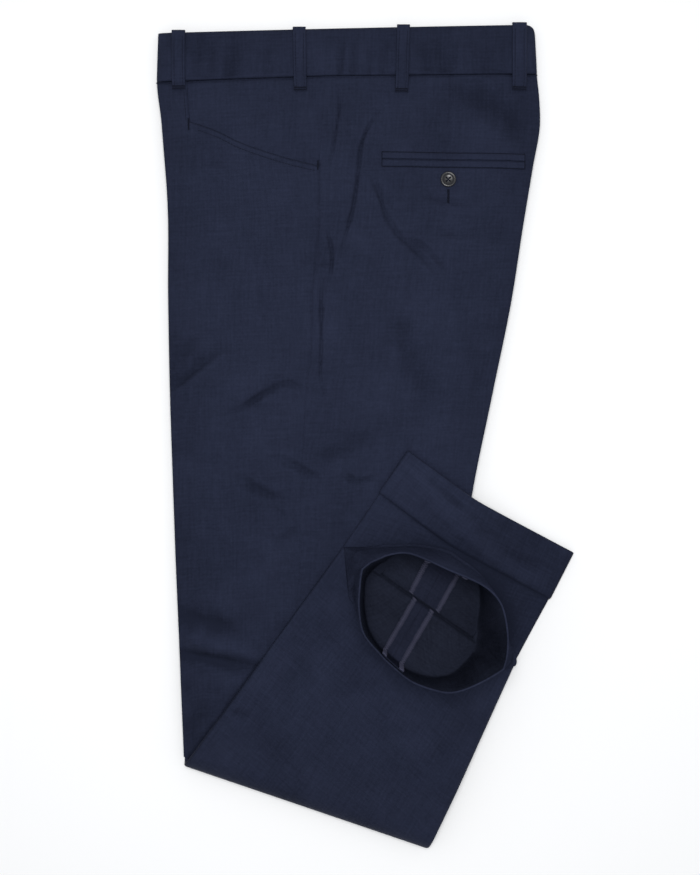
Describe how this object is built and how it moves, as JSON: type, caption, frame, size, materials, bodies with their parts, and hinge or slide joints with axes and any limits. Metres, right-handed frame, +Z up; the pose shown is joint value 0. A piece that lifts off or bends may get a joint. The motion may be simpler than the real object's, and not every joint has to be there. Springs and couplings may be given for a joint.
{
  "type": "chino trousers",
  "caption": "Chino trousers lying folded in half with the legs turned up at the knee, one hem pushed open into a standing ring.",
  "frame": {"origin": "on the surface that the trousers lie on, under the middle of their outline", "axes": "+Y from the knee fold to the waistband along the thighs, +X from the front crease to the seat, +Z up from the surface"},
  "size_m": [0.4064, 0.8014, 0.0979],
  "materials": {
    "navy_twill": "matt brushed cotton twill",
    "navy_twill_inside": "matt wrong side of the twill",
    "seam_allowance": "matt, overlocked edges in pale thread",
    "button": "satin dark grey"
  },
  "bodies": {
    "root": {"left_front": "navy_twill", "left_back": "navy_twill", "left_pocket_bearer": "navy_twill", "right_front": "navy_twill", "right_back": "navy_twill", "waistband_left": "navy_twill", "waistband_right": "navy_twill", "belt_loop_front": "navy_twill", "belt_loop_side": "navy_twill", "belt_loop_back": "navy_twill", "belt_loop_centre_back": "navy_twill", "back_welt_upper": "navy_twill", "back_welt_lower": "navy_twill", "back_pocket_button": "button", "hidden_layers": "navy_twill_inside", "left_front_lower": "navy_twill", "left_back_lower": "navy_twill", "left_cuff": "navy_twill", "right_inner_lower": "navy_twill_inside", "right_front_end": "navy_twill", "right_back_end": "navy_twill", "right_cuff": "navy_twill", "inseam_allowance_front": "seam_allowance", "inseam_allowance_back": "seam_allowance", "outseam_allowance_front": "seam_allowance", "outseam_allowance_back": "seam_allowance"}
  },
  "joints": []
}
